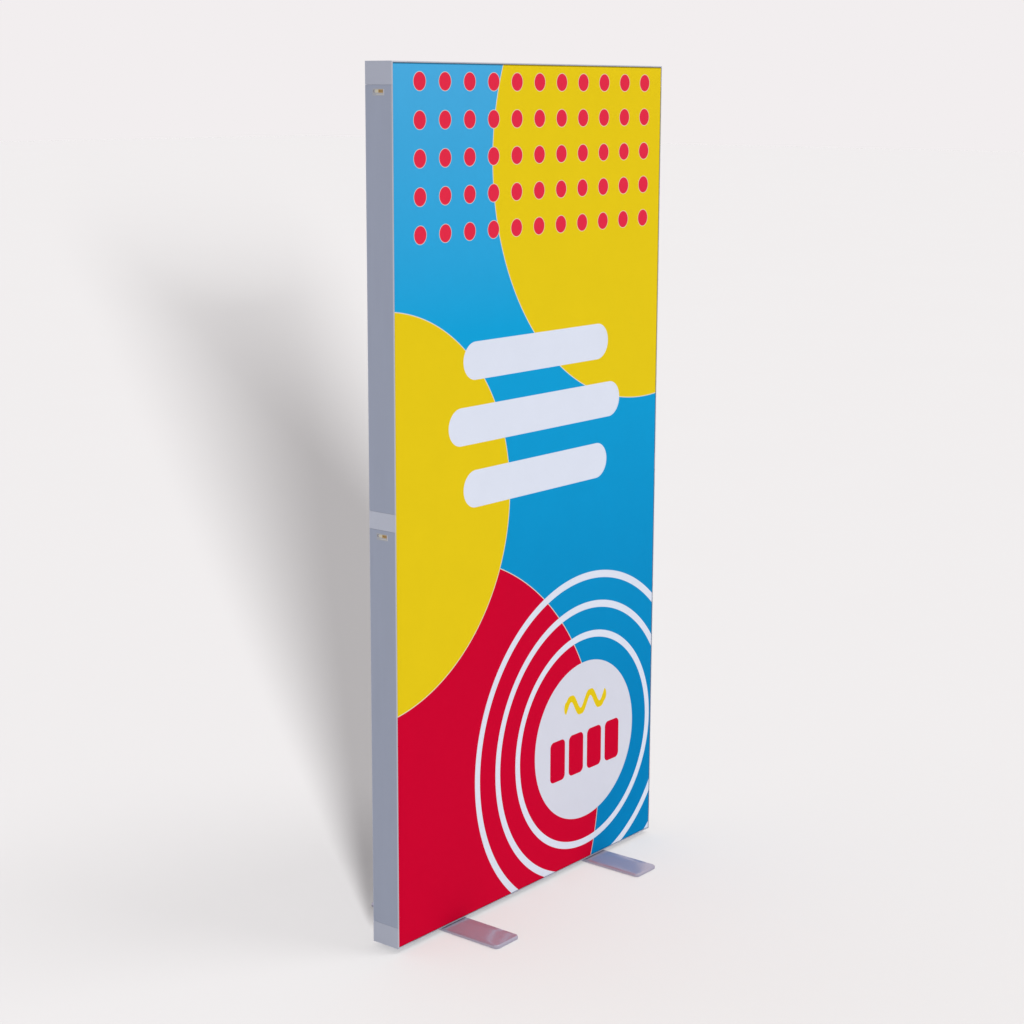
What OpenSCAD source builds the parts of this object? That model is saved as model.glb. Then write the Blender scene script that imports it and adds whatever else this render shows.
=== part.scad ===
// Free-standing partition wall: a two-sided fabric display frame on two swivel feet.
// X runs along the wall, Y through its depth and Z up, with the origin on the floor under the middle.

/* [Wall] */
// Overall width of the frame
wall_w = 1000; // [800:50:1200]
// Height of the frame, without its feet
wall_h = 2000; // [1600:50:2500]
// Depth of the frame, from front lip to rear lip
wall_d = 78; // [72:1:110]

/* [Profile] */
// How far the profile reaches in from the frame's outer edge
rail_h = 30; // [28:1:40]
// Thickness of the outer wall, which is also the lip round the fabric
lip = 3; // [3:0.5:4]
// Radius along the lip's outer edge, less than half the lip
lip_r = 1.4; // [0.5:0.1:1.4]
// Thickness of the other walls
skin = 2; // [1.5:0.5:3]
// Depth of the channel that holds the fabric's edge strip
channel_d = 15; // [13:1:18]
// Width of that channel
channel_w = 3.2; // [3:0.1:4]

/* [Corners and couplers] */
// Length of a corner cap along each edge
cap_len = 50; // [45:1:70]
// Length of the band between two stile segments
coupler_len = 40; // [40:1:60]
// How far a tongue reaches into a profile
tongue_len = 40; // [30:1:60]
// Gap round a tongue in its profile
tongue_gap = 0.25; // [0.2:0.05:0.5]
// Gap left where two visible pieces meet end to end
seam = 0.4; // [0.2:0.1:1]
// Radius of a locking screw
lock_r = 2.5; // [2:0.5:3]

/* [Fabric] */
// Thickness of the printed fabric
fabric_t = 0.5; // [0.3:0.1:1]
// How far the fabric sits behind the lip's front
fabric_set = 0.5; // [0.2:0.1:1]
// Thickness of the silicone edge strip
strip_t = 2.8; // [2.4:0.1:2.9]
// Depth of the silicone edge strip
strip_d = 12; // [10:0.5:12.5]

/* [Feet] */
// Length of a foot, front to rear
foot_len = 400; // [300:10:450]
// Width of a foot
foot_w = 84; // [60:1:100]
// Thickness of a foot
foot_t = 8.5; // [8:0.5:12]
// Corner radius of a foot, seen from above
foot_r = 10; // [6:1:20]
// Bevel along a foot's top edge
foot_bevel = 2.5; // [1:0.5:3]
// Place of the left foot along the wall
foot_left_x = -297; // [-300:1:-230]
// Place of the right foot along the wall
foot_right_x = 262; // [230:1:300]
// Thickness of the rubber pads under a foot
pad_t = 1; // [1:0.5:3]
// Radius of a rubber pad
pad_r = 10; // [8:1:15]
// Thickness of the swivel washer
washer_t = 2.5; // [2:0.5:4]
// Radius of the swivel washer
washer_r = 20; // [16:1:22]
// Radius of the pivot bolt
pivot_r = 5; // [4:1:6]
// Running clearance round the pivot bolt
pivot_gap = 0.06; // [0.02:0.01:0.1]

/* [Cross brace] */
// Size of the brace through the wall's depth
brace_d = 20; // [16:1:24]
// Height of the brace
brace_h = 30; // [20:1:34]
// Wall thickness of the brace
brace_t = 1.5; // [1:0.5:2]
// Distance of the brace's end from the coupler
brace_gap = 15; // [14:1:20]

/* [Lighting] */
// Width of a light bar's board
board_w = 20; // [16:1:24]
// Thickness of a light bar's board
board_t = 1.6; // [1:0.2:2]
// Number of lenses on each light bar
lenses = 8; // [4:1:12]
// Radius of a lens
lens_r = 8; // [6:0.5:9]
// Radius of the supply lead
lead_r = 2.5; // [2:0.5:3]
// Height of the supply inlet above the frame's lower edge
inlet_z = 110; // [90:1:200]

/* [Labels] */
// Width of a profile label
label_w = 33; // [20:1:40]
// Height of a profile label
label_h = 19; // [10:1:24]
// Thickness of a profile label
label_t = 0.2; // [0.1:0.1:0.4]

/* [Hidden] */
$fn = 48;
eps = 1;                                      // overshoot of a cutting shape

base_z = pad_t + foot_t + washer_t;           // lower edge of the frame
top_z = base_z + wall_h;
mid_z = base_z + wall_h / 2;
box_d = wall_d - 2 * channel_d;               // depth of the profile's hollow box
channel_reach = wall_d / 2 - fabric_set - fabric_t - tongue_gap;   // end of a channel's inner wall
rail_len = wall_w - 2 * cap_len - 2 * seam;
stile_len = (wall_h - 2 * cap_len - coupler_len) / 2 - 2 * seam;
lower_z = base_z + cap_len + seam;            // lower end of a lower stile
upper_z = mid_z + coupler_len / 2 + seam;     // lower end of an upper stile
tongue_w = box_d - 2 * skin - 2 * tongue_gap;
tongue_h = rail_h - lip - skin - 2 * tongue_gap;
tongue_u = lip + tongue_gap;
lock_pos = 20;                                // locking screw's distance from a profile's end
lock_len = 8;
screw_gap = 0.1;                              // gap round a screw in its hole
bracket_w = 48;                               // base of a brace bracket, through the depth
bracket_h = 40;
bracket_t = 3;
cheek_len = 45;
brace_screw_y = 18;
brace_screw_r = 2;
cross_screw_r = 2.5;
cross_screw_u = rail_h + brace_gap + 17;
bar_inset = 15;                               // light bar's distance from a corner cap
bar_clear = 45;                               // light bar's distance from the middle of the height
bar_len = wall_h / 2 - cap_len - bar_inset - bar_clear;
plug_l = 14;                                  // connector block at each end of a light bar
plug_w = 14;
plug_h = 8;
lead_u = rail_h + board_t + plug_h / 2;       // lead's distance from the frame's outer edge
bend_r = 20;
inlet_r = 5.5;
inlet_len = 14;
flange_r = 7.5;
flange_t = 1.5;
jack_r = 2.75;
jack_len = 9.5;
jack_pin_r = 1.05;
nut_t = 3.5;
lead_hole_r = 4;
label_drop = 17;                              // label's centre below the top of its stile
head_r = 8.5;
head_t = 3;
head_gap = 0.3;
anchor_w = 60;
anchor_t = 10;

silver = "#a9afba";
light_grey = "#c3c8d0";
steel = "#8f949b";

// Cross-section of the frame: x runs in from the outer edge and y through the depth.
module section(hollow) {
    difference() {
        union() {
            translate([lip_r, -wall_d / 2]) square([lip - lip_r, wall_d]);
            translate([0, lip_r - wall_d / 2]) square([lip, wall_d - 2 * lip_r]);
            for (side = [-1, 1]) translate([lip_r, side * (wall_d / 2 - lip_r)]) circle(lip_r);
            translate([0, -box_d / 2]) square([rail_h, box_d]);
            translate([lip + channel_w, -channel_reach]) square([skin, 2 * channel_reach]);
        }
        if (hollow) translate([lip, skin - box_d / 2]) square([rail_h - lip - skin, box_d - 2 * skin]);
    }
}

// A hole along the section's x, at height z
module inner_wall_hole(r, z) {
    translate([rail_h - skin - eps, 0, z]) rotate([0, 90, 0]) cylinder(r = r, h = skin + 2 * eps);
}

module segment(len) {
    difference() {
        linear_extrude(len) section(true);
        for (z = [lock_pos, len - lock_pos]) inner_wall_hole(lock_r + screw_gap, z);
    }
}

// Places: a child drawn along +Z with its outer face at x = 0 becomes a side of the frame.
module on_left(z) {
    translate([-wall_w / 2, 0, z]) children();
}

module on_right(z) {
    mirror([1, 0, 0]) on_left(z) children();
}

module on_bottom() {
    translate([rail_len / 2, 0, base_z]) rotate([0, -90, 0]) children();
}

module on_top() {
    translate([-rail_len / 2, 0, top_z]) rotate([0, 90, 0]) children();
}

// Turns a shape drawn at the lower left corner to one of the four corners
module at_corner(right, top) {
    translate([0, 0, mid_z]) mirror([right, 0, 0]) mirror([0, 0, top])
        translate([-wall_w / 2, 0, -wall_h / 2]) children();
}

module flipped_y(flip) {
    mirror([0, flip, 0]) children();
}

// A hollow tongue that slides into a profile, with a tapped hole for its locking screw
module tongue() {
    wall = 3;
    difference() {
        translate([tongue_u, -tongue_w / 2, -eps]) cube([tongue_h, tongue_w, tongue_len + eps]);
        translate([tongue_u + wall, wall - tongue_w / 2, eps])
            cube([tongue_h - 2 * wall, tongue_w - 2 * wall, tongue_len]);
        translate([rail_h - skin - 2 * wall, 0, seam + lock_pos]) rotate([0, 90, 0])
            cylinder(r = lock_r + screw_gap, h = 3 * wall);
    }
}

module cap_leg() {
    intersection() {
        linear_extrude(cap_len) section(false);
        rotate([90, 0, 0]) linear_extrude(wall_d + 2 * eps, center = true)
            polygon([[0, 0], [cap_len, cap_len], [0, cap_len]]);
    }
    translate([0, 0, cap_len]) tongue();
}

module corner_cap() {
    cap_leg();
    mirror([1, 0, -1]) cap_leg();
}

module coupler() {
    difference() {
        union() {
            linear_extrude(coupler_len) section(false);
            translate([0, 0, coupler_len]) tongue();
            mirror([0, 0, 1]) tongue();
        }
        for (y = [-brace_screw_y, brace_screw_y])
            translate([rail_h - 10, y, coupler_len / 2]) rotate([0, 90, 0])
                cylinder(r = brace_screw_r + screw_gap, h = 10 + eps);
    }
}

module locking_screw(z) {
    translate([rail_h - lock_len, 0, z]) rotate([0, 90, 0]) difference() {
        cylinder(r = lock_r, h = lock_len);
        translate([0, 0, lock_len - 2]) cylinder(r = lock_r / 2, h = 2 + eps, $fn = 6);
    }
}

module segment_screws(len) {
    for (z = [lock_pos, len - lock_pos]) locking_screw(z);
}

module bracket() {
    cheek_y = brace_d / 2 + tongue_gap;
    difference() {
        union() {
            translate([rail_h, -bracket_w / 2, -bracket_h / 2]) cube([bracket_t, bracket_w, bracket_h]);
            for (side = [0, 1]) flipped_y(side)
                translate([rail_h, cheek_y, -brace_h / 2]) cube([cheek_len, bracket_t, brace_h]);
        }
        for (y = [-brace_screw_y, brace_screw_y]) translate([rail_h - eps, y, 0]) rotate([0, 90, 0])
            cylinder(r = brace_screw_r + screw_gap, h = bracket_t + 2 * eps);
        translate([cross_screw_u, 0, 0]) rotate([90, 0, 0])
            cylinder(r = cross_screw_r + screw_gap, h = bracket_w, center = true);
    }
}

module pan_screw(r, len) {
    cylinder(r = r, h = len);
    translate([0, 0, len]) difference() {
        cylinder(r = 2 * r, h = 1.2 * r);
        translate([0, 0, r / 2]) cylinder(r = r, h = r, $fn = 6);
    }
}

module bracket_screws() {
    side_y = brace_d / 2 + tongue_gap + bracket_t;
    for (y = [-brace_screw_y, brace_screw_y]) translate([rail_h - 8, y, 0]) rotate([0, 90, 0])
        pan_screw(brace_screw_r, 8 + bracket_t);
    translate([cross_screw_u, side_y, 0]) rotate([90, 0, 0])
        pan_screw(cross_screw_r, 2 * side_y);
}

module sheet() {
    edge = lip + 0.1;
    translate([edge - wall_w / 2, wall_d / 2 - fabric_set - fabric_t, base_z + edge])
        cube([wall_w - 2 * edge, fabric_t, wall_h - 2 * edge]);
}

// The four straight strips sewn to one fabric, each in its channel
module edge_strips() {
    inset = lip + (channel_w - strip_t) / 2;
    y = wall_d / 2 - fabric_set - fabric_t - strip_d;
    for (top = [0, 1]) at_corner(0, top)
        translate([inset, y, inset]) cube([wall_w - 2 * inset, strip_d, strip_t]);
    for (right = [0, 1]) at_corner(right, 0)
        translate([inset, y, inset + strip_t + 0.5])
            cube([strip_t, strip_d, wall_h - 2 * inset - 2 * strip_t - 1]);
}

module foot() {
    post_x = foot_w / 2 - foot_r;
    post_y = foot_len / 2 - foot_r;
    difference() {
        hull() for (x = [-post_x, post_x]) for (y = [-post_y, post_y]) translate([x, y, pad_t]) {
            cylinder(r = foot_r, h = foot_t - foot_bevel, $fn = 32);
            cylinder(r = foot_r - foot_bevel, h = foot_t, $fn = 32);
        }
        cylinder(r = pivot_r + pivot_gap, h = base_z);
        cylinder(r = head_r + head_gap, h = pad_t + 0.2 + head_t + head_gap);
    }
}

module foot_pads() {
    for (y = [-0.45, -0.15, 0.15, 0.45] * foot_len) translate([0, y, 0]) cylinder(r = pad_r, h = pad_t);
}

module swivel_washer() {
    difference() {
        translate([0, 0, pad_t + foot_t + 0.1]) cylinder(r = washer_r, h = washer_t - 0.1);
        cylinder(r = pivot_r + head_gap, h = base_z + eps);
    }
}

module pivot_bolt() {
    head_z = pad_t + 0.2;
    difference() {
        union() {
            translate([0, 0, head_z]) cylinder(r = head_r, h = head_t);
            translate([0, 0, head_z]) cylinder(r = pivot_r, h = base_z + lip + anchor_t - head_z);
        }
        cylinder(r = 3.5, h = head_z + head_t - 0.5, $fn = 6);
    }
}

module foot_anchor() {
    difference() {
        translate([-anchor_w / 2, -tongue_w / 2, base_z + lip]) cube([anchor_w, tongue_w, anchor_t]);
        translate([0, 0, base_z]) cylinder(r = pivot_r + pivot_gap, h = rail_h);
    }
}

module light_bar() {
    translate([rail_h, -board_w / 2, 0]) cube([board_t, board_w, bar_len]);
    for (z = [0, bar_len - plug_l]) translate([rail_h + board_t, -plug_w / 2, z])
        cube([plug_h, plug_w, plug_l]);
}

module lens_row() {
    first = 60;
    pitch = (bar_len - 2 * first) / (lenses - 1);
    for (i = [0 : lenses - 1]) translate([rail_h + board_t, 0, first + i * pitch]) rotate([0, 90, 0]) {
        cylinder(r = lens_r, h = 2);
        translate([0, 0, 2]) intersection() {
            sphere(r = lens_r - 1.5);
            translate([-lens_r, -lens_r, 0]) cube([2 * lens_r, 2 * lens_r, lens_r]);
        }
    }
}

module light_link() {
    translate([lead_u, 0, -bar_clear]) cylinder(r = lead_r, h = 2 * bar_clear);
}

// The quarter bend of the crossing lead and its run down from the light bar, at the lower left corner
module lead_drop() {
    bend = lead_u + bend_r;
    translate([bend, 0, bend]) rotate([90, 180, 0]) rotate_extrude(angle = 90)
        translate([bend_r, 0]) circle(lead_r);
    translate([lead_u, 0, bend]) cylinder(r = lead_r, h = cap_len + bar_inset - bend);
}

module label() {
    translate([-label_t, -label_w / 2, -label_h / 2]) cube([label_t, label_w, label_h]);
}

module low_bar_place(right) {
    translate([0, 0, base_z + cap_len + bar_inset]) mirror([right, 0, 0])
        translate([-wall_w / 2, 0, 0]) children();
}

module high_bar_place(right) {
    translate([0, 0, mid_z + bar_clear]) mirror([right, 0, 0])
        translate([-wall_w / 2, 0, 0]) children();
}

// ---- frame ----
module top_rail() color(silver) on_top() segment(rail_len);

module bottom_rail() color(silver) difference() {
    on_bottom() segment(rail_len);
    for (x = [foot_left_x, foot_right_x]) translate([x, 0, base_z - eps])
        cylinder(r = pivot_r + head_gap, h = lip + 2 * eps);
}

module stile_left_lower() color(silver) on_left(lower_z) segment(stile_len);
module stile_left_upper() color(silver) on_left(upper_z) segment(stile_len);

module stile_right_lower() color(silver) difference() {
    on_right(lower_z) segment(stile_len);
    on_right(base_z + inlet_z) {
        translate([-eps, 0, 0]) rotate([0, 90, 0]) cylinder(r = inlet_r + screw_gap, h = lip + 2 * eps);
        translate([-eps, 0, 0]) rotate([0, 90, 0]) cylinder(r = flange_r + screw_gap, h = flange_t + eps);
        inner_wall_hole(lead_hole_r, 0);
    }
}

module stile_right_upper() color(silver) on_right(upper_z) segment(stile_len);

module corner_top_left() color(light_grey) at_corner(0, 1) corner_cap();
module corner_top_right() color(light_grey) at_corner(1, 1) corner_cap();
module corner_bottom_left() color(light_grey) at_corner(0, 0) corner_cap();
module corner_bottom_right() color(light_grey) at_corner(1, 0) corner_cap();

module coupler_left() color(light_grey) on_left(mid_z - coupler_len / 2) coupler();
module coupler_right() color(light_grey) on_right(mid_z - coupler_len / 2) coupler();

module locking_screws() color(steel) {
    on_top() segment_screws(rail_len);
    on_bottom() segment_screws(rail_len);
    for (z = [lower_z, upper_z]) {
        on_left(z) segment_screws(stile_len);
        on_right(z) segment_screws(stile_len);
    }
}

module cross_brace() color(silver) {
    len = wall_w - 2 * rail_h - 2 * brace_gap;
    translate([0, 0, mid_z]) difference() {
        cube([len, brace_d, brace_h], center = true);
        cube([len + eps, brace_d - 2 * brace_t, brace_h - 2 * brace_t], center = true);
        for (right = [0, 1]) mirror([right, 0, 0]) translate([cross_screw_u - wall_w / 2, 0, 0])
            rotate([90, 0, 0]) cylinder(r = cross_screw_r + screw_gap, h = brace_d + eps, center = true);
    }
}

module brace_bracket_left() color(steel) on_left(mid_z) bracket();
module brace_bracket_right() color(steel) on_right(mid_z) bracket();

module brace_screws() color(steel) {
    on_left(mid_z) bracket_screws();
    on_right(mid_z) bracket_screws();
}

// ---- fabric ----
module front_graphic() color("#0a8fc8") flipped_y(1) sheet();
module rear_graphic() color("#e9edf3") sheet();
module front_edge_strips() color("#d8dbe0") flipped_y(1) edge_strips();
module rear_edge_strips() color("#d8dbe0") edge_strips();

// ---- feet ----
module foot_left() color("#9aa3b5") translate([foot_left_x, 0, 0]) foot();
module foot_right() color("#9aa3b5") translate([foot_right_x, 0, 0]) foot();
module foot_pads_left() color("#25262a") translate([foot_left_x, 0, 0]) foot_pads();
module foot_pads_right() color("#25262a") translate([foot_right_x, 0, 0]) foot_pads();
module swivel_washer_left() color("#e4e5e6") translate([foot_left_x, 0, 0]) swivel_washer();
module swivel_washer_right() color("#e4e5e6") translate([foot_right_x, 0, 0]) swivel_washer();
module pivot_bolt_left() color(steel) translate([foot_left_x, 0, 0]) pivot_bolt();
module pivot_bolt_right() color(steel) translate([foot_right_x, 0, 0]) pivot_bolt();
module foot_anchor_left() color(steel) translate([foot_left_x, 0, 0]) foot_anchor();
module foot_anchor_right() color(steel) translate([foot_right_x, 0, 0]) foot_anchor();

// ---- lighting ----
module light_bar_left_lower() color("#f0f2ee") low_bar_place(0) light_bar();
module light_bar_left_upper() color("#f0f2ee") high_bar_place(0) light_bar();
module light_bar_right_lower() color("#f0f2ee") low_bar_place(1) light_bar();
module light_bar_right_upper() color("#f0f2ee") high_bar_place(1) light_bar();
module lenses_left_lower() color("#dfe8ef") low_bar_place(0) lens_row();
module lenses_left_upper() color("#dfe8ef") high_bar_place(0) lens_row();
module lenses_right_lower() color("#dfe8ef") low_bar_place(1) lens_row();
module lenses_right_upper() color("#dfe8ef") high_bar_place(1) lens_row();
module light_link_left() color("#2a2b2e") on_left(mid_z) light_link();
module light_link_right() color("#2a2b2e") on_right(mid_z) light_link();

module supply_inlet() color("#202124") on_right(base_z + inlet_z) rotate([0, 90, 0]) {
    difference() {
        union() {
            cylinder(r = flange_r, h = flange_t);
            cylinder(r = inlet_r, h = inlet_len);
        }
        translate([0, 0, -eps]) cylinder(r = jack_r, h = jack_len + eps);
    }
    translate([0, 0, 1]) cylinder(r = jack_pin_r, h = jack_len);
}

module inlet_nut() color(steel) on_right(base_z + inlet_z) translate([lip, 0, 0]) rotate([0, 90, 0])
    difference() {
        cylinder(r = 1.5 * inlet_r, h = nut_t, $fn = 6);
        translate([0, 0, -eps]) cylinder(r = inlet_r + screw_gap, h = nut_t + 2 * eps);
    }

module inlet_lead() color("#2a2b2e") on_right(base_z + inlet_z) translate([inlet_len, 0, 0])
    rotate([0, 90, 0]) cylinder(r = lead_r, h = rail_h - inlet_len);

module crossing_lead() color("#2a2b2e") {
    run = wall_w - 2 * (lead_u + bend_r);
    at_corner(0, 0) lead_drop();
    at_corner(1, 0) lead_drop();
    translate([0, 0, base_z + lead_u]) rotate([0, 90, 0]) cylinder(r = lead_r, h = run, center = true);
}

module lead_clips() color("#e4e5e6") for (x = [-0.3, -0.1, 0.1, 0.3] * wall_w) {
    clip_h = lead_u - rail_h + lead_r + 2;
    translate([x, 0, base_z + rail_h + clip_h / 2]) difference() {
        cube([8, 12, clip_h], center = true);
        translate([0, 0, lead_u - rail_h - clip_h / 2]) rotate([0, 90, 0])
            cylinder(r = lead_r + screw_gap, h = 8 + eps, center = true);
    }
}

// ---- labels ----
module profile_labels() color("#e8e2c8") for (z = [lower_z, upper_z] + [1, 1] * (stile_len - label_drop)) {
    on_left(z) label();
    on_right(z) label();
}

top_rail();
bottom_rail();
stile_left_lower();
stile_left_upper();
stile_right_lower();
stile_right_upper();
corner_top_left();
corner_top_right();
corner_bottom_left();
corner_bottom_right();
coupler_left();
coupler_right();
locking_screws();
cross_brace();
brace_bracket_left();
brace_bracket_right();
brace_screws();
front_graphic();
rear_graphic();
front_edge_strips();
rear_edge_strips();
foot_left();
foot_right();
foot_pads_left();
foot_pads_right();
swivel_washer_left();
swivel_washer_right();
pivot_bolt_left();
pivot_bolt_right();
foot_anchor_left();
foot_anchor_right();
light_bar_left_lower();
light_bar_left_upper();
light_bar_right_lower();
light_bar_right_upper();
lenses_left_lower();
lenses_left_upper();
lenses_right_lower();
lenses_right_upper();
light_link_left();
light_link_right();
supply_inlet();
inlet_nut();
inlet_lead();
crossing_lead();
lead_clips();
profile_labels();
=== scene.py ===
"""Free-standing partition wall: a fabric-faced display frame on two swivel feet.

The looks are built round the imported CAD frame, in metres, with +Z up and the printed front facing -Y.
"""
import math

import bpy
import numpy as np
from mathutils import Matrix, Vector


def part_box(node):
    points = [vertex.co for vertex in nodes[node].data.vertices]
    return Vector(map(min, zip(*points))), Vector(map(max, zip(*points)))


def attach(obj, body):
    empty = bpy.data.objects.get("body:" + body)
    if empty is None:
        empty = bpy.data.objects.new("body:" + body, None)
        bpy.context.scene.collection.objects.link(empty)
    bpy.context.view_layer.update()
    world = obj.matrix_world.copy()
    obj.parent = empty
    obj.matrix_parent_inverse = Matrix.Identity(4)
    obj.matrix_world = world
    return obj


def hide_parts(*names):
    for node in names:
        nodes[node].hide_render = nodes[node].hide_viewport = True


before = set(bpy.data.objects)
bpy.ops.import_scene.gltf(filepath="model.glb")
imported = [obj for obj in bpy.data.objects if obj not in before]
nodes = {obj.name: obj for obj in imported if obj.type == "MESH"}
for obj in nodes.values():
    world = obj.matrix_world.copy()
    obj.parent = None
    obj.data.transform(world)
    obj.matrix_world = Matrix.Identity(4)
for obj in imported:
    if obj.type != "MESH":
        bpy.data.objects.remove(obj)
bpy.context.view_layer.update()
MM = 0.001

# ---------------------------------------------------------------- driving dimensions
LOW_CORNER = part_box("corner_bottom_left")[0]
HIGH_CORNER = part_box("corner_top_right")[1]
WALL_LEFT, WALL_RIGHT = LOW_CORNER.x, HIGH_CORNER.x
WALL_BASE, WALL_TOP = LOW_CORNER.z, HIGH_CORNER.z
HALF_DEPTH = HIGH_CORNER.y
LIP_DEPTH = 1.3 * MM               # the lip's front strip that carries a painted highlight, measured back from its face

CLOTH = 0.45 * MM                  # thickness of the fabric
ROLL = 2.4 * MM                    # radius of the fabric's turn into its channel
TURN_STEPS = 5                     # loops of faces round that turn
TUCK = 9 * MM                      # how far the fabric runs down the channel past that turn
COLUMNS, ROWS = 40, 80             # faces across and up the fabric's flat part

STRIP_LEFT, STRIP_RIGHT = 3.65 * MM, 6.0 * MM      # a silicone strip's sides, in from the wall's edge
RIBS = 3
RIB_HEIGHT = 0.6 * MM
RIB_MARGIN = 1.6 * MM              # from the strip's ends to the outer ribs' middles
RIB_FOOT_NEAR, RIB_TOP_NEAR = 0.9 * MM, 0.5 * MM   # a rib's corners towards the channel's mouth
RIB_TOP_FAR, RIB_FOOT_FAR = -0.2 * MM, -0.5 * MM   # and towards its floor

FOOT_BEVEL = 2.5 * MM
FOOT_CORNER = 10 * MM
FOOT_EASE = 0.5 * MM               # the small rounding of the foot's other edges
PIVOT_HOLE, HEAD_HOLE = 5.06 * MM, 8.8 * MM        # radii of the bolt's hole and its counterbore
HEAD_DEPTH = 3.5 * MM

LABEL_H = 15 * MM
LABEL_DROP = 15 * MM               # from the top of an upright to the middle of its label
LABEL_CORNER = 1.5 * MM
LABEL_LIFT = 0.05 * MM             # from the wall to the film's back, and the height of its top edge's slope

LENSES = 8                         # on each light bar
LENS_FLANGE, LENS_EASE = 2 * MM, 0.3 * MM
LENS_BALL = 6.4 * MM               # radius of the dome


# ---------------------------------------------------------------- meshes
def added(name, data):
    """A new object in the scene that shows a mesh, light or camera."""
    thing = bpy.data.objects.new(name, data)
    bpy.context.scene.collection.objects.link(thing)
    return thing


def mesh_piece(name, points, faces, body, finish, sharp=None):
    """A mesh from an array of points and a list of faces, riding on a CAD body. Where sharp is given, the
    faces are shaded smooth across every edge that turns by less than that many degrees."""
    mesh = bpy.data.meshes.new(name)
    mesh.from_pydata(np.asarray(points, float).tolist(), [], [list(face) for face in faces])
    mesh.update()
    mesh.materials.append(finish.material)
    piece = added(name, mesh)
    if sharp is not None:
        mesh.polygons.foreach_set("use_smooth", [True] * len(mesh.polygons))
        mesh.set_sharp_from_angle(angle=math.radians(sharp))
    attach(piece, body)
    return piece


def quads_between(first, second):
    """Quads that join two closed loops of the same length, given as arrays of vertex numbers."""
    return np.stack([first, np.roll(first, -1), np.roll(second, -1), second], axis=1)


def loft(loops):
    """A closed tube of quads through loops of equal length, the last joined back to the first."""
    count = len(loops[0])
    numbers = np.arange(len(loops) * count).reshape(len(loops), count)
    faces = [quads_between(numbers[i - 1], numbers[i]) for i in range(len(loops))]
    return np.concatenate(loops), np.concatenate(faces)


def rounded_rectangle(half_x, half_y, radius, count):
    """Points round a rectangle whose corners are quarter circles, counter-clockwise from +X."""
    turn = np.linspace(0, math.pi / 2, count // 4)
    corners = []
    for quarter, (sx, sy) in enumerate([(1, 1), (-1, 1), (-1, -1), (1, -1)]):
        angle = turn + quarter * math.pi / 2
        corners.append(np.stack([sx * (half_x - radius) + radius * np.cos(angle),
                                 sy * (half_y - radius) + radius * np.sin(angle)], axis=1))
    return np.concatenate(corners)


def circle(radius, count):
    """Points round a circle, counter-clockwise, half a step on from +X."""
    angle = (np.arange(count) + 0.5) * 2 * math.pi / count
    return np.stack([radius * np.cos(angle), radius * np.sin(angle)], axis=1)


def at_height(outline, z, centre):
    """A flat outline set at height z round a centre."""
    return np.column_stack([outline + np.array(centre), np.full(len(outline), z)])


def face_corners(mesh):
    """The vertex number and the place of every corner of every face, as arrays."""
    number = np.zeros(len(mesh.loops), int)
    mesh.loops.foreach_get("vertex_index", number)
    points = np.zeros(len(mesh.vertices) * 3)
    mesh.vertices.foreach_get("co", points)
    return number, points.reshape(-1, 3)[number]


def write_map(mesh, name, u, v):
    """A map of the surface, from one u and one v for every corner of every face."""
    layer = mesh.uv_layers.new(name=name)
    layer.data.foreach_set("uv", np.stack([u, v], axis=1).astype(np.float32).ravel())


# ---------------------------------------------------------------- shader maths
class Value:
    """A number in a material's nodes. Python operators on it add Math nodes."""

    def __init__(self, finish, socket):
        self.finish = finish
        self.socket = socket

    def calc(self, operation, *others):
        """This value and others put through one Math node."""
        return self.finish.calc(operation, self, *others)

    def __add__(self, other):
        return self.calc("ADD", other)

    def __radd__(self, other):
        return self.calc("ADD", other)

    def __sub__(self, other):
        return self.calc("SUBTRACT", other)

    def __rsub__(self, other):
        return self.finish.calc("SUBTRACT", other, self)

    def __mul__(self, other):
        return self.calc("MULTIPLY", other)

    def __rmul__(self, other):
        return self.calc("MULTIPLY", other)

    def __truediv__(self, other):
        return self.calc("DIVIDE", other)

    def __abs__(self):
        return self.calc("ABSOLUTE")

    def __gt__(self, other):
        return self.calc("GREATER_THAN", other)

    def __lt__(self, other):
        return self.calc("LESS_THAN", other)

    def sin(self):
        return self.calc("SINE")

    def root(self):
        return self.calc("SQRT")

    def fraction(self):
        return self.calc("FRACT")

    def limited(self, low=0.0, high=1.0):
        """The value kept between two bounds."""
        return self.calc("MAXIMUM", low).calc("MINIMUM", high)


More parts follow.
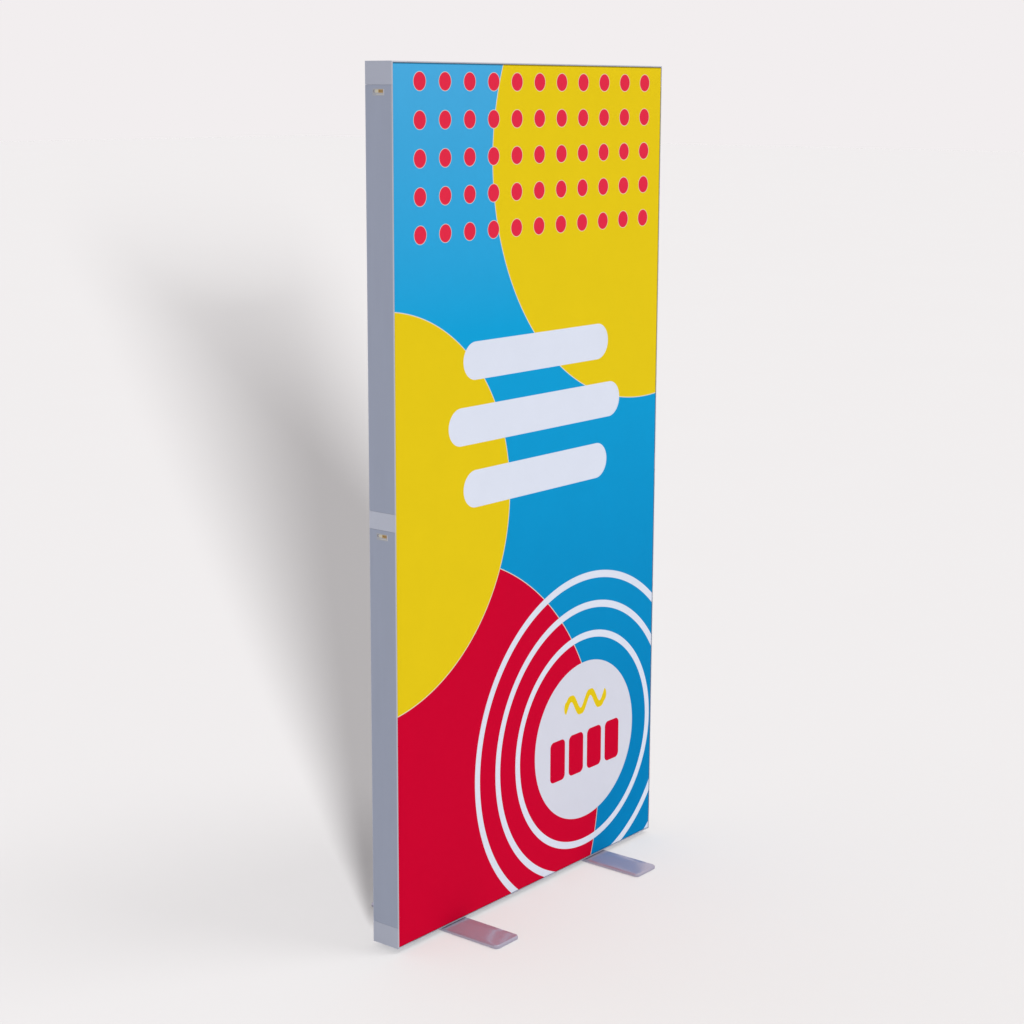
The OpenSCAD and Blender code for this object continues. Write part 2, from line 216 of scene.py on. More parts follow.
class Finish:
    """A material with one Principled shader. Keyword values are set on the shader's own sockets."""

    MIX_FACTOR, MIX_FIRST, MIX_SECOND, MIX_RESULT = 0, 6, 7, 2      # the Mix node's sockets for colours

    def __init__(self, name, **fixed):
        self.material = bpy.data.materials.new(name)
        self.material.use_nodes = True
        self.tree = self.material.node_tree
        self.shader = self.tree.nodes["Principled BSDF"]
        for key, value in fixed.items():
            self.shader.inputs[key.replace("_", " ")].default_value = value

    def node(self, kind, settings, inputs):
        """A node of one kind, with its settings made first and then its sockets' values or links."""
        made = self.tree.nodes.new(kind)
        for key, value in settings.items():
            setattr(made, key, value)
        for key, value in inputs.items():
            source = getattr(value, "socket", value)
            if isinstance(source, bpy.types.NodeSocket):
                self.tree.links.new(source, made.inputs[key])
            else:
                made.inputs[key].default_value = source
        return made

    def calc(self, operation, *values):
        """One Math node on values or numbers."""
        made = self.node("ShaderNodeMath", {"operation": operation}, dict(enumerate(values)))
        return Value(self, made.outputs[0])

    def place(self):
        """The point's own coordinates in metres, as three values."""
        return self.split(self.node("ShaderNodeTexCoord", {}, {}).outputs["Object"])

    def split(self, vector):
        """A vector's three parts as values."""
        parts = self.node("ShaderNodeSeparateXYZ", {}, {0: vector})
        return [Value(self, part) for part in parts.outputs]

    def join(self, x, y, z):
        """A vector from three values or numbers."""
        return self.node("ShaderNodeCombineXYZ", {}, {0: x, 1: y, 2: z}).outputs[0]

    def distance(self, spot, centre=(0.0, 0.0, 0.0)):
        """How far one point is from another."""
        made = self.node("ShaderNodeVectorMath", {"operation": "DISTANCE"}, {0: spot, 1: centre})
        return Value(self, made.outputs["Value"])

    def noise(self, x, y, z, detail=2.0):
        """Smooth noise from 0 to 1 at a point that is already scaled."""
        inputs = {"Vector": self.join(x, y, z), "Scale": 1.0, "Detail": detail}
        return Value(self, self.node("ShaderNodeTexNoise", {}, inputs).outputs["Fac"])

    def speckle(self, scale, detail=2.0):
        """The same noise on the point's own coordinates, with blotches about 1 / scale metres across."""
        x, y, z = self.place()
        return self.noise(x * scale, y * scale, z * scale, detail)

    def blend(self, amount, first, second):
        """The first colour where amount is 0 and the second where it is 1."""
        inputs = {self.MIX_FACTOR: amount, self.MIX_FIRST: first, self.MIX_SECOND: second}
        return self.node("ShaderNodeMix", {"data_type": "RGBA"}, inputs).outputs[self.MIX_RESULT]

    def shaded(self, colour, amount):
        """A colour made lighter or darker by a factor."""
        settings = {"data_type": "RGBA", "blend_type": "MULTIPLY"}
        inputs = {self.MIX_FACTOR: 1.0, self.MIX_FIRST: colour, self.MIX_SECOND: self.join(*[amount] * 3)}
        return self.node("ShaderNodeMix", settings, inputs).outputs[self.MIX_RESULT]

    def drive(self, **sockets):
        """Links to the shader, each named after its socket."""
        for key, value in sockets.items():
            source = getattr(value, "socket", value)
            self.tree.links.new(source, self.shader.inputs[key.replace("_", " ")])

    def bump(self, height, depth, strength):
        """Relief from a height of 0 to 1 that stands for a depth in metres."""
        made = self.node("ShaderNodeBump", {}, {"Strength": strength, "Distance": depth, "Height": height})
        self.drive(Normal=made.outputs[0])

    def put_on(self, *names):
        """The finish on CAD nodes, in place of their plain one."""
        for name in names:
            slots = nodes[name].data.materials
            slots.clear()
            slots.append(self.material)


def paint(red, green, blue):
    """A colour given as display values from 0 to 255, as the shader wants it."""
    share = np.array([red, green, blue]) / 255
    linear = np.where(share <= 0.04045, share / 12.92, ((share + 0.055) / 1.055) ** 2.4)
    return (*linear.tolist(), 1.0)


# ---------------------------------------------------------------- the print
# Places on the print are metres across and down from the wall's upper left corner.
TOP_LIP_SHADOW = 3.0 * MM                     # the band of painted shadow of the top lip along the print's top edge
TOP_LIP_SHADOW_STRENGTH = 0.5
PRINT_EDGE = 0.8 * MM              # softness of a printed edge
OUTLINE = 0.9 * MM                 # half the width of the pale outline between colours
UPPER_FADE = 0.6                   # down the print, over which the top blue, paled partly by painted sheen, turns into the middle one
LOWER_FADE = 1.1                   # and then the middle one into the low one

YELLOW_HIGH = (0.9465, 0.2131, 0.6098)     # a disc's centre across and down, and its radius
YELLOW_LEFT = (-0.0575, 0.989, 0.460)
RED_LOW = (0.0899, 1.7911, 0.6811)
DOT_FIRST = (0.089, 0.042)
DOT_PITCH = (0.08376, 0.0824)
DOT_COUNT = (11, 5)
DOT_RADIUS = 0.0205
DOT_OUTLINE, DOT_OUTLINE_SHARE = 0.7 * MM, 0.7
BARS = [(0.234, 0.786, 0.6655), (0.182, 0.837, 0.8133), (0.234, 0.786, 0.9627)]   # ends across, middle down
BAR_RADIUS = 0.0439
TARGET = (0.709, 1.677)
RINGS = [(0.2637, 0.2815), (0.340, 0.358), (0.416, 0.4345)]                       # inner and outer radius
DISC_RADIUS = 0.205
WAVE = {"left": 0.630, "right": 0.790, "middle": 1.577, "height": 0.020, "turns": 2.0, "half": 0.0085}
BLOCKS = {"left": 0.566, "width": 0.060, "pitch": 0.076, "count": 4, "middle": 1.706, "half": 0.053,
          "corner": 0.014}

# The blues darken down the print: the top one is paler partly as the print's own gradient and partly as
# painted sheen from light above.
BLUE_TOP_WITH_SHEEN = paint(72, 171, 223)
BLUE_MIDDLE = paint(16, 162, 218)
BLUE_LOW = paint(0, 130, 190)
YELLOW = paint(229, 202, 22)
RED = paint(204, 0, 46)
# The dots' red is paler than the low red, partly as painted sheen at the top of the print.
DOT_RED_WITH_SHEEN = paint(226, 44, 72)
WHITE = paint(221, 229, 243)
DISC_WHITE = paint(215, 219, 231)
LINE_PALE = paint(226, 222, 206)
REAR_WHITE = paint(236, 238, 243)

WALE, COURSE = 0.5 * MM, 0.7 * MM  # spacing of the knit's columns and rows of loops
KNIT_DEPTH = 0.08 * MM


def inside(value):
    """1 where a signed distance in metres is positive, 0 where it is negative, soft between."""
    return (value / PRINT_EDGE + 0.5).limited()


def span(value, middle, half):
    """1 within half of the middle."""
    return inside(half - abs(value - middle))


def disc_layer(cloth, under, spot, disc, colour):
    """A filled circle over a colour, with its pale outline."""
    across, down, radius = disc
    reach = radius - cloth.distance(spot, (across, down, 0.0))
    filled = cloth.blend(inside(reach), under, colour)
    return cloth.blend(inside(OUTLINE - abs(reach)), filled, LINE_PALE)


def dot_layer(cloth, under, across, down):
    """The grid of dots: each cell's own coordinates run from -0.5 to 0.5."""
    steps = [(across - DOT_FIRST[0]) / DOT_PITCH[0] + 0.5, (down - DOT_FIRST[1]) / DOT_PITCH[1] + 0.5]
    local = [(step.fraction() - 0.5) * pitch for step, pitch in zip(steps, DOT_PITCH)]
    used = [(step > 0.0) * (step < float(count)) for step, count in zip(steps, DOT_COUNT)]
    reach = DOT_RADIUS - cloth.distance(cloth.join(*local, 0.0))
    grid = used[0] * used[1]
    filled = cloth.blend(inside(reach) * grid, under, DOT_RED_WITH_SHEEN)
    outline = inside(DOT_OUTLINE - abs(reach)) * grid * DOT_OUTLINE_SHARE
    return cloth.blend(outline, filled, LINE_PALE)


def bar_layer(cloth, under, across, down, bar):
    """A white bar with round ends: all that is near enough to its middle line."""
    left, right, middle = bar
    along = across.limited(left + BAR_RADIUS, right - BAR_RADIUS)
    gap = cloth.distance(cloth.join(across - along, down - middle, 0.0))
    return cloth.blend(inside(BAR_RADIUS - gap), under, WHITE)


def target_layer(cloth, under, spot):
    """White rings and a white disc round one centre."""
    reach = cloth.distance(spot, (*TARGET, 0.0))
    for inner, outer in RINGS:
        under = cloth.blend(span(reach, (inner + outer) / 2, (outer - inner) / 2), under, WHITE)
    return cloth.blend(inside(DISC_RADIUS - reach), under, DISC_WHITE)


def wave_layer(cloth, under, across, down):
    """A wavy line with round ends. A point's height above the sine curve is divided by the curve's slant,
    the root of 1 + slope squared, which keeps the line's width even."""
    along = across.limited(WAVE["left"], WAVE["right"])
    turn = 2 * math.pi * WAVE["turns"] / (WAVE["right"] - WAVE["left"])
    phase = (along - WAVE["left"]) * turn
    slope = (phase + math.pi / 2).sin() * (turn * WAVE["height"])
    rise = (down - WAVE["middle"] + phase.sin() * WAVE["height"]) / (slope * slope + 1.0).root()
    gap = cloth.distance(cloth.join(across - along, rise, 0.0))
    return cloth.blend(inside(WAVE["half"] - gap), under, YELLOW)


def block_layer(cloth, under, across, down):
    """A row of blocks with rounded corners: all that is near enough to a smaller rectangle in each."""
    step = (across - BLOCKS["left"]) / BLOCKS["pitch"]
    local = step.fraction() * BLOCKS["pitch"] - BLOCKS["width"] / 2
    used = (step > 0.0) * (step < float(BLOCKS["count"]))
    offsets = [local, down - BLOCKS["middle"]]
    limits = [BLOCKS["width"] / 2 - BLOCKS["corner"], BLOCKS["half"] - BLOCKS["corner"]]
    past = [offset - offset.limited(-limit, limit) for offset, limit in zip(offsets, limits)]
    gap = cloth.distance(cloth.join(*past, 0.0))
    return cloth.blend(inside(BLOCKS["corner"] - gap) * used, under, RED)


def knit(cloth, x, z):
    """Relief of a fine warp knit: sine rows of loops, pushed along by the sine columns they lie in."""
    wales = (x * (2 * math.pi / WALE)).sin()
    rows = (z * (2 * math.pi / COURSE) + wales * 0.8).sin()
    cloth.bump(wales * 0.25 + rows * 0.25 + 0.5, KNIT_DEPTH, 0.5)


def front_cloth():
    """Printed knit: layers of colour from the blue ground up, with a faint mottle over them. The top of the
    blue ground is paler, partly the print's own gradient and partly painted sheen, and a band of painted
    shadow of the top lip darkens the print's top edge.
    """
    cloth = Finish("front_print", Roughness=0.8, Specular_IOR_Level=0.03)
    x, _, z = cloth.place()
    across = x - WALL_LEFT
    down = WALL_TOP - z
    spot = cloth.join(across, down, 0.0)
    colour = cloth.blend((down / UPPER_FADE).limited(), BLUE_TOP_WITH_SHEEN, BLUE_MIDDLE)
    colour = cloth.blend(((down - UPPER_FADE) / LOWER_FADE).limited(), colour, BLUE_LOW)
    for disc, tone in [(YELLOW_HIGH, YELLOW), (RED_LOW, RED), (YELLOW_LEFT, YELLOW)]:
        colour = disc_layer(cloth, colour, spot, disc, tone)
    colour = dot_layer(cloth, colour, across, down)
    for bar in BARS:
        colour = bar_layer(cloth, colour, across, down, bar)
    colour = target_layer(cloth, colour, spot)
    colour = wave_layer(cloth, colour, across, down)
    colour = block_layer(cloth, colour, across, down)
    # painted shadow of the top lip: the colour darkened in a thin band along the print's top edge
    lip_shadow = inside(TOP_LIP_SHADOW - (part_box("front_graphic")[1].z - z))
    mottle = cloth.noise(x * 9.0, 0.0, z * 9.0, detail=4.0)
    cloth.drive(Base_Color=cloth.shaded(colour, (mottle * 0.05 + 0.975) * (1.0 - lip_shadow * TOP_LIP_SHADOW_STRENGTH)))
    knit(cloth, x, z)
    return cloth


def rear_cloth():
    """The same knit, unprinted."""
    cloth = Finish("rear_print", Roughness=0.8, Specular_IOR_Level=0.03)
    x, _, z = cloth.place()
    mottle = cloth.noise(x * 7.0, 2.0, z * 7.0, detail=4.0)
    cloth.drive(Base_Color=cloth.shaded(REAR_WHITE, mottle * 0.05 + 0.975))
    knit(cloth, x, z)
    return cloth


# ---------------------------------------------------------------- fabric and its strips
def stretched_cloth(name, node, finish, facing, body):
    """Fabric stretched flat over the frame, turned through a quarter circle at its edge and tucked into
    the channel. The flat part is a grid, the turn and tuck are loops that carry on from its edge, and a
    second layer behind it closes the sheet. facing is -1 on the front and 1 on the rear."""
    low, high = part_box(node)
    face_y = facing * max(abs(low.y), abs(high.y))
    left, right, base, top = low.x + ROLL, high.x - ROLL, low.z + ROLL, high.z - ROLL
    s, t = np.meshgrid(np.linspace(0, 1, COLUMNS + 1), np.linspace(0, 1, ROWS + 1), indexing="ij")
    flat = np.stack([left + s * (right - left), np.full(s.shape, face_y), base + t * (top - base)],
                    axis=-1).reshape(-1, 3)
    number = np.arange(s.size).reshape(s.shape)
    edge = np.concatenate([number[:-1, 0], number[-1, :-1], number[:0:-1, -1], number[0, :0:-1]])
    outward = np.stack([(s == 1) * 1 - (s == 0) * 1, np.zeros(s.shape), (t == 1) * 1 - (t == 0) * 1],
                       axis=-1).reshape(-1, 3)[edge]
    back = np.array([0, -facing, 0])
    turns = np.linspace(0, math.pi / 2, TURN_STEPS + 1)[1:]
    steps = [(ROLL * math.sin(a), ROLL * (1 - math.cos(a))) for a in turns] + [(ROLL, ROLL + TUCK)]

    def layer(inset):
        """One face of the sheet: its grid and its loops, moved inwards by the sheet's thickness."""
        loops = [flat[edge] + outward * out * (1 - inset / ROLL) + back * (inset + deep)
                 for out, deep in steps]
        return np.concatenate([flat + back * inset, *loops])

    outer, inner = layer(0.0), layer(CLOTH)
    quads = np.stack([number[:-1, :-1], number[1:, :-1], number[1:, 1:], number[:-1, 1:]],
                     axis=-1).reshape(-1, 4)
    rings = [edge] + [s.size + np.arange(len(edge)) + i * len(edge) for i in range(len(steps))]
    skirt = np.concatenate([quads_between(b, a) for a, b in zip(rings, rings[1:])])
    sheet_faces = np.concatenate([quads, skirt])
    rim = quads_between(rings[-1] + len(outer), rings[-1])
    faces = np.concatenate([sheet_faces, sheet_faces[:, ::-1] + len(outer), rim])
    if facing > 0:
        faces = faces[:, ::-1]
    piece = mesh_piece(name, np.concatenate([outer, inner]), faces, body, finish, sharp=50)
    bake_map(piece.data, len(sheet_faces), len(outer), len(edge))
    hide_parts(node)
    return piece


def bake_map(mesh, layer_faces, layer_points, edge_points):
    """The fabric's own map: the shown layer fills most of the square, the hidden one a narrower field, and
    the cut edge a thin strip up the right side. Both layers spread a little with depth, so that the tuck
    lies outside the flat part."""
    margin, height, spread = 0.02, 0.96, 0.02
    shown_left, shown_width = 0.02, 0.84
    hidden_left, hidden_width = 0.89, 0.075
    rim_left, rim_right = 0.980, 0.995
    number, points = face_corners(mesh)
    face = np.arange(len(number)) // 4
    low, size = points.min(axis=0), np.ptp(points, axis=0)
    depth = np.abs(points[:, 1])
    grow = 1 + spread * (depth.max() - depth) / np.ptp(depth)
    x = ((points[:, 0] - low[0]) / size[0] - 0.5) * grow + 0.5
    z = ((points[:, 2] - low[2]) / size[2] - 0.5) * grow + 0.5
    hidden = number >= layer_points
    rim_face = face - 2 * layer_faces
    rim = rim_face >= 0
    onward = (number % layer_points - (layer_points - edge_points) - rim_face) % edge_points
    u = np.where(hidden, hidden_left + hidden_width * x, shown_left + shown_width * x)
    u = np.where(rim, np.where(hidden, rim_left, rim_right), u)
    v = margin + height * np.where(rim, (rim_face + onward) / edge_points, z)
    write_map(mesh, "OFBake", u, v)


def ribbed_strip(name, node, facing, finish):
    """The silicone strip sewn along the fabric's edge: a section with ribs on its inner side, carried
    round the frame's four corners with mitred joints. facing is -1 on the front and 1 on the rear."""
    low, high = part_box(node)
    foot = min(abs(low.y), abs(high.y))
    mouth = foot + (high.y - low.y) - ROLL
    side = STRIP_RIGHT - RIB_HEIGHT
    ribs = [[(side, y + RIB_FOOT_NEAR), (STRIP_RIGHT, y + RIB_TOP_NEAR),
             (STRIP_RIGHT, y + RIB_TOP_FAR), (side, y + RIB_FOOT_FAR)]
            for y in np.linspace(mouth - RIB_MARGIN, foot + RIB_MARGIN, RIBS)]
    section = np.concatenate([[(STRIP_LEFT, mouth), (side, mouth)], *ribs,
                              [(side, foot), (STRIP_LEFT, foot)]])
    inset, depth = section.T
    corners = [(WALL_LEFT, 1, WALL_BASE, 1), (WALL_RIGHT, -1, WALL_BASE, 1),
               (WALL_RIGHT, -1, WALL_TOP, -1), (WALL_LEFT, 1, WALL_TOP, -1)]
    points, faces = loft([np.column_stack([x + sx * inset, facing * depth, z + sz * inset])
                          for x, sx, z, sz in corners])
    if facing < 0:
        faces = faces[:, ::-1]
    piece = mesh_piece(name, points, faces, "frame", finish, sharp=30)
    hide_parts(node)
    return piece


# ---------------------------------------------------------------- hard finishes
SILVER = paint(152, 160, 178)
# painted highlight for the lips of the profile, caps and couplers: paler than their metal and plastic
LIP_HIGHLIGHT = paint(184, 188, 199)
CAP_GREY = paint(166, 172, 187)
COUPLER_GREY = paint(176, 182, 196)
FOOT_GREY = paint(168, 164, 183)
ZINC_GREY = paint(190, 192, 198)
SILICONE_WHITE = paint(226, 228, 232)
NYLON_WHITE = paint(236, 236, 234)
PAD_BLACK = paint(40, 40, 43)
JACKET_BLACK = paint(38, 38, 41)
INLET_BLACK = paint(30, 30, 33)
BOARD_WHITE = paint(238, 240, 236)
COPPER = paint(196, 150, 96)
LENS_CLEAR = paint(236, 243, 250)

# A box on a label is left, right, low and high, as shares of the film's width and height.
LABEL_GREY = paint(158, 161, 168)
LABEL_FIELDS = [((0.22, 0.52, 0.42, 0.86), paint(194, 188, 166)),      # cream
                ((0.50, 0.92, 0.40, 0.88), paint(172, 136, 64)),       # amber
                ((0.32, 0.92, 0.14, 0.26), paint(190, 188, 180)),      # pale bar below
                ((0.955, 1.1, 0.05, 0.95), paint(204, 202, 206))]      # pale edge
LABEL_MARKS = [(0.56, 0.64, 0.54, 0.76), (0.69, 0.75, 0.48, 0.80), (0.80, 0.88, 0.54, 0.76),
               (0.05, 0.10, 0.44, 0.84), (0.13, 0.19, 0.74, 0.84), (0.13, 0.19, 0.44, 0.54)]
MARK_DARK = paint(84, 72, 56)
MARK_EDGE = 0.015                  # softness of a box's edge, as a share


def lip_highlight_strip(y):
    """1 on the lip's front strip, front and rear, where the painted highlight goes."""
    return inside(abs(y) - (HALF_DEPTH - LIP_DEPTH))


def profile_metal(name, along, tone):
    """Satin anodised extrusion: long fine grain along its length, and a smoother lip at its edge with a
    painted highlight.
    """
    metal = Finish(name, Metallic=0.55, Specular_IOR_Level=0.5)
    x, y, z = metal.place()
    fine, long = 900.0, 6.0
    scaled = (x * fine, y * fine, z * long) if along == "z" else (x * long, y * fine, z * fine)
    grain = metal.noise(*scaled, detail=3.0)
    cloud = metal.noise(x * 5.0, y * 40.0, z * 5.0)
    lip_highlight = lip_highlight_strip(y)
    body = metal.shaded(tone, grain * 0.10 + cloud * 0.06 + 0.92)
    # the lip strip gets a painted highlight in place of the metal's tone, and is a little smoother
    metal.drive(Base_Color=metal.blend(lip_highlight, body, LIP_HIGHLIGHT), Roughness=grain * 0.14 + 0.36 - lip_highlight * 0.08)
    metal.bump(grain, 0.02 * MM, 0.5)
    return metal


def moulded(name, tone, roughness, lip_highlight_tone=None):
    """Moulded plastic with a fine eroded texture, and a painted highlight on the lip where it continues the
    profile's.
    """
    plastic = Finish(name, Specular_IOR_Level=0.45)
    fine = plastic.speckle(1400.0)
    cloud = plastic.speckle(14.0, detail=3.0)
    colour = plastic.shaded(tone, cloud * 0.06 + 0.97)
    # painted highlight on the lip: a paler tone where the lip runs
    if lip_highlight_tone is not None:
        colour = plastic.blend(lip_highlight_strip(plastic.place()[1]), colour, lip_highlight_tone)
    plastic.drive(Base_Color=colour, Roughness=fine * 0.12 + (roughness - 0.06))
    plastic.bump(fine, 0.05 * MM, 0.6)
    return plastic


def plated(name, tone, roughness):
    """Zinc-plated steel with a faint cloudy spangle."""
    steel = Finish(name, Metallic=1.0)
    spangle = steel.speckle(220.0, detail=3.0)
    steel.drive(Base_Color=steel.shaded(tone, spangle * 0.16 + 0.9),
                Roughness=spangle * 0.2 + (roughness - 0.1))
    return steel


def foot_coat():
    """Grey lacquer with a fine metal fleck under a clear gloss, with a faint orange peel."""
    coat = Finish("foot_coat", Metallic=0.3, IOR=1.8)
    fleck = coat.speckle(2600.0, detail=1.0)
    peel = coat.speckle(260.0)
    coat.drive(Base_Color=coat.shaded(FOOT_GREY, fleck * 0.16 + 0.92), Roughness=fleck * 0.08 + 0.14)
    coat.bump(peel, 0.03 * MM, 0.35)
    return coat


def soft_rubber(name, tone):
    """Matt rubber or silicone with a fine grit."""
    rubber = Finish(name, Roughness=0.8, Specular_IOR_Level=0.3)
    grit = rubber.speckle(900.0)
    rubber.drive(Base_Color=rubber.shaded(tone, grit * 0.3 + 0.85))
    rubber.bump(grit, 0.05 * MM, 0.6)
    return rubber


def light_board():
    """White board with copper pads in a row up its middle and a thin copper track along each edge."""
    pad_pitch, pad_middle = 0.11, 0.02
    board = Finish("light_board", Roughness=0.45)
    _, y, z = board.place()
    track = span(abs(y), 7.5 * MM, 0.6 * MM)
    pad = span((z / pad_pitch).fraction() * pad_pitch, pad_middle, 3 * MM) * span(abs(y), 0.0, 5 * MM)
    base = board.shaded(BOARD_WHITE, board.speckle(500.0) * 0.06 + 0.96)
    board.drive(Base_Color=board.blend((track + pad).limited(), base, COPPER))
    return board


def lens_plastic():
    """Clear moulded plastic with a faint haze."""
    lens = Finish("lens_plastic", Roughness=0.08, Transmission_Weight=0.7, IOR=1.49)
    lens.drive(Base_Color=lens.shaded(LENS_CLEAR, lens.speckle(120.0) * 0.08 + 0.95))
    return lens


def label_film():
    """Printed film: pale and amber fields and thin dark bars, read from the label's own map."""
    film = Finish("label_film", Roughness=0.35, Specular_IOR_Level=0.5)
    u, v, _ = film.split(film.node("ShaderNodeUVMap", {"uv_map": "label"}, {}).outputs[0])

    def printed(under, box, tone):
        """A colour with one soft-edged box of another over it."""
        left, right, low, high = box
        across = ((u - left) / MARK_EDGE).limited() * ((right - u) / MARK_EDGE).limited()
        up = ((v - low) / MARK_EDGE).limited() * ((high - v) / MARK_EDGE).limited()
        return film.blend(across * up, under, tone)

    colour = LABEL_GREY
    for box, tone in LABEL_FIELDS + [(mark, MARK_DARK) for mark in LABEL_MARKS]:
        colour = printed(colour, box, tone)
    film.drive(Base_Color=colour)
    return film


# ---------------------------------------------------------------- hard pieces
def make_label(name, side, middle_z, film):
    """A thin film with rounded corners on the outer wall: a loop at its back, one near its front and one
    drawn in a little at its front, with a face on each end. side is -1 on the left and 1 on the right."""
    low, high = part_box("profile_labels")
    wall_x = WALL_LEFT if side < 0 else WALL_RIGHT
    half_y = (high.y - low.y) / 2
    outline = rounded_rectangle(half_y, LABEL_H / 2, LABEL_CORNER, 32)
    thick = abs(low.x - WALL_LEFT) * 0.9
    loops = [np.column_stack([np.full(len(outline), wall_x + side * rise), -side * outline[:, 0] * share,
                              outline[:, 1] * share + middle_z])
             for rise, share in [(LABEL_LIFT, 1.0), (thick - LABEL_LIFT, 1.0), (thick, 0.997)]]
    back, edge, front = np.arange(3 * len(outline)).reshape(3, -1)
    faces = [*quads_between(edge, back), *quads_between(front, edge), front[::-1], back]
    piece = mesh_piece(name, np.concatenate(loops), faces, "frame", film)
    points = face_corners(piece.data)[1]
    write_map(piece.data, "label", 0.5 + side * points[:, 1] / (2 * half_y),
              0.5 + (points[:, 2] - middle_z) / LABEL_H)
    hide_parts("profile_labels")
    return piece


def make_foot(side, body, coat):
    """A flat bar with rounded corners, a wide bevel along its top edge, a small one below, and the
    counterbored pivot hole: one closed loft whose loops run out over the top and back under."""
    node = f"foot_{side}"
    low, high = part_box(node)
    centre = ((low.x + high.x) / 2, (low.y + high.y) / 2)
    half_x, half_y = (high.x - low.x) / 2, (high.y - low.y) / 2
    count = 96

    def bar(inset, z):
        """The foot's outline drawn in by an inset, at one height."""
        outline = rounded_rectangle(half_x - inset, half_y - inset, FOOT_CORNER - inset, count)
        return at_height(outline, z, centre)

    def hole(radius, z):
        """The pivot hole's circle of one radius, at one height."""
        return at_height(circle(radius, count), z, centre)

    loops = [hole(PIVOT_HOLE, high.z),
             bar(FOOT_BEVEL + 0.8 * FOOT_EASE, high.z),
             bar(FOOT_BEVEL, high.z - 0.12 * FOOT_EASE),
             bar(0.3 * FOOT_EASE, high.z - FOOT_BEVEL + 0.1 * FOOT_EASE),
             bar(0.0, high.z - FOOT_BEVEL - 0.5 * FOOT_EASE),
             bar(0.0, low.z + FOOT_EASE),
             bar(0.3 * FOOT_EASE, low.z + 0.3 * FOOT_EASE),
             bar(FOOT_EASE, low.z),
             hole(HEAD_HOLE, low.z),
             hole(HEAD_HOLE, low.z + HEAD_DEPTH),
             hole(PIVOT_HOLE, low.z + HEAD_DEPTH)]
    points, faces = loft(loops[::-1])
    piece = mesh_piece(f"{node}_plate", points, faces, body, coat, sharp=28)
    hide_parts(node)
    return piece


def lens_row(name, finish):
    """The lenses of one light bar. Each is a profile turned about an axis across the wall: a round flange
    with an eased edge, then a half ball that ends in a small flat."""
    low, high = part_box(name)
    rim, count = (high.y - low.y) / 2, 36
    inward = 1 if low.x < 0 else -1
    base = low.x if inward > 0 else high.x
    rise = np.linspace(0, math.pi / 2 - 0.05, 9)
    profile = [(rim, 0), (rim, LENS_FLANGE - LENS_EASE), (rim - LENS_EASE, LENS_FLANGE),
               *zip(LENS_BALL * np.cos(rise), LENS_FLANGE + LENS_BALL * np.sin(rise))]
    numbers = np.arange(LENSES * len(profile) * count).reshape(LENSES, len(profile), count)
    points, faces = [], []
    for middle, number in zip(np.linspace(low.z + rim, high.z - rim, LENSES), numbers):
        for radius, height in profile:
            ring = circle(radius, count)
            points.append(np.column_stack([np.full(count, base + inward * height), ring[:, 0],
                                           middle + ring[:, 1]]))
        faces += [number[0][::-1], number[-1]]
        for lower, upper in zip(number, number[1:]):
            faces += list(quads_between(lower, upper))
    if inward < 0:
        faces = [face[::-1] for face in faces]
    piece = mesh_piece(f"{name}_row", np.concatenate(points), faces, "frame", finish, sharp=35)
    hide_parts(name)
    return piece


# ---------------------------------------------------------------- the wall
SIDES, LEVELS = ("left", "right"), ("lower", "upper")


def each_bar(word):
    """A light bar's or upright's four names, from their first word."""
    return [f"{word}_{side}_{level}" for side in SIDES for level in LEVELS]


front_fabric = stretched_cloth("front_fabric", "front_graphic", front_cloth(), -1, "frame")
rear_fabric = stretched_cloth("rear_fabric", "rear_graphic", rear_cloth(), 1, "frame")
coat = foot_coat()
make_foot("left", "left_foot", coat)
make_foot("right", "right_foot", coat)
film = label_film()
for level in LEVELS:
    for word, side in zip(SIDES, (-1, 1)):
        upright_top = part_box(f"stile_{word}_{level}")[1].z
        make_label(f"label_{word}_{level}", side, upright_top - LABEL_DROP, film)
silicone = soft_rubber("silicone", SILICONE_WHITE)
ribbed_strip("front_strip", "front_edge_strips", -1, silicone)
ribbed_strip("rear_strip", "rear_edge_strips", 1, silicone)
lens = lens_plastic()
for name in each_bar("lenses"):
    lens_row(name, lens)

profile_metal("upright_metal", "z", SILVER).put_on(*each_bar("stile"))
profile_metal("rail_metal", "x", SILVER).put_on("top_rail", "bottom_rail", "cross_brace")
moulded("cap_plastic", CAP_GREY, 0.5, LIP_HIGHLIGHT).put_on(
    "corner_top_left", "corner_top_right", "corner_bottom_left", "corner_bottom_right")
moulded("coupler_plastic", COUPLER_GREY, 0.5, LIP_HIGHLIGHT).put_on("coupler_left", "coupler_right")
plated("zinc", ZINC_GREY, 0.35).put_on(
    "locking_screws", "brace_screws", "inlet_nut", "pivot_bolt_left", "pivot_bolt_right",
    "foot_anchor_left", "foot_anchor_right", "brace_bracket_left", "brace_bracket_right")
soft_rubber("pad_rubber", PAD_BLACK).put_on("foot_pads_left", "foot_pads_right")
moulded("nylon", NYLON_WHITE, 0.45).put_on("swivel_washer_left", "swivel_washer_right", "lead_clips")
light_board().put_on(*each_bar("light_bar"))
moulded("lead_jacket", JACKET_BLACK, 0.5).put_on(
    "light_link_left", "light_link_right", "inlet_lead", "crossing_lead")
moulded("inlet_plastic", INLET_BLACK, 0.4).put_on("supply_inlet")

# ---------------------------------------------------------------- stage
BACKGROUND = paint(242, 238, 239)
FLOOR_TONE = paint(172, 171, 171)
FLOOR_REACH = 60.0
CAMERA_SPOT = (-3.697, -2.944, 1.950)
CAMERA_TURN = {"yaw": -51.15, "pitch": -10.89, "roll": 0.21}       # degrees, from a level view along +Y
CAMERA_LENS = 70.4                 # on a sensor 36 mm wide
CAMERA_SHIFT = -0.035


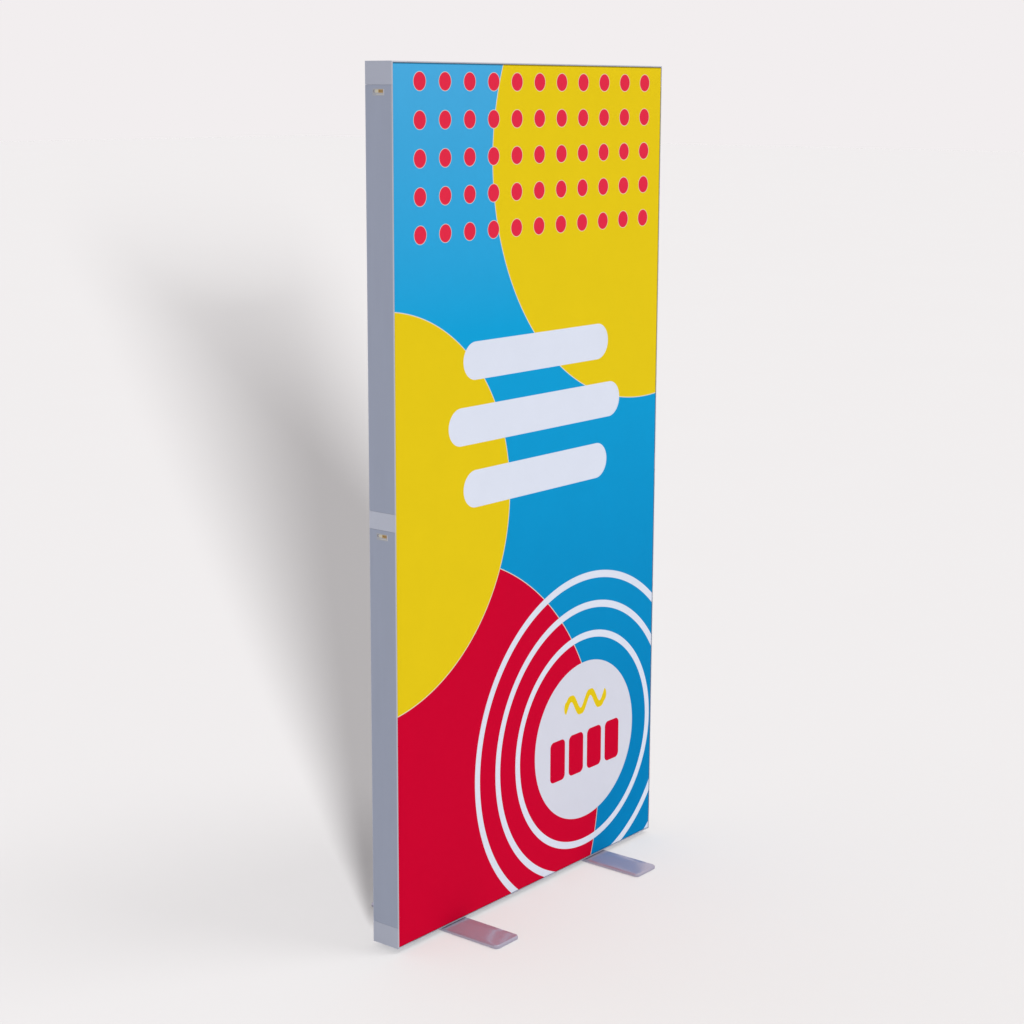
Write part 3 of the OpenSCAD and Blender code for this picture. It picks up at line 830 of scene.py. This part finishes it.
def make_floor():
    """A wide sheet of pale paper, with a faint cloud in its tone."""
    mesh = bpy.data.meshes.new("floor")
    corners = [(sx * FLOOR_REACH, sy * FLOOR_REACH, 0) for sx, sy in [(-1, -1), (1, -1), (1, 1), (-1, 1)]]
    mesh.from_pydata(corners, [], [(0, 1, 2, 3)])
    floor = added("floor", mesh)
    paper = Finish("floor_paper", Roughness=0.9, Specular_IOR_Level=0.0)
    x, y, _ = paper.place()
    cloud = paper.noise(x * 0.8, y * 0.8, 0.0)
    paper.drive(Base_Color=paper.shaded(FLOOR_TONE, cloud * 0.01 + 0.99))
    mesh.materials.append(paper.material)
    return floor


def gathered(name, pieces):
    """A collection of its own for light linking."""
    group = bpy.data.collections.new(name)
    for piece in pieces:
        group.objects.link(piece)
    return group


def make_sun(name, towards, power, spread, onto=(), past=()):
    """Soft light from one direction, given as a vector towards it, with its spread in degrees. Where they
    are given, it falls only onto some pieces, and only the pieces that it comes past cast its shadow."""
    data = bpy.data.lights.new(name, "SUN")
    data.energy = power
    data.angle = math.radians(spread)
    sun = added(name, data)
    sun.rotation_euler = Vector(towards).to_track_quat("Z", "Y").to_euler()
    if onto:
        sun.light_linking.receiver_collection = gathered(f"{name}_onto", onto)
    if past:
        sun.light_linking.blocker_collection = gathered(f"{name}_past", past)


def make_world(colour):
    """An even light of one colour from all round."""
    world = bpy.data.worlds.new("studio")
    bpy.context.scene.world = world
    world.use_nodes = True
    world.node_tree.nodes["Background"].inputs["Color"].default_value = colour


def make_camera():
    """The view from the front left, a little above the wall's top and looking down."""
    data = bpy.data.cameras.new("camera")
    data.sensor_width = 36.0
    data.lens = CAMERA_LENS
    data.shift_y = CAMERA_SHIFT
    yaw, pitch, roll = (math.radians(CAMERA_TURN[key]) for key in ("yaw", "pitch", "roll"))
    turn = (Matrix.Rotation(yaw, 4, "Z") @ Matrix.Rotation(math.pi / 2 + pitch, 4, "X")
            @ Matrix.Rotation(roll, 4, "Z"))
    camera = added("camera", data)
    camera.matrix_world = Matrix.Translation(CAMERA_SPOT) @ turn
    bpy.context.scene.camera = camera


floor = make_floor()
make_world(BACKGROUND)
make_sun("soft_sun", towards=(0.30, -0.40, 0.87), power=0.9, spread=24)
make_sun("low_sun", towards=(-0.65, -0.76, 0.08), power=39.8, spread=8,
         onto=[floor], past=[front_fabric, rear_fabric])
make_camera()
bpy.context.scene.view_settings.view_transform = "Standard"
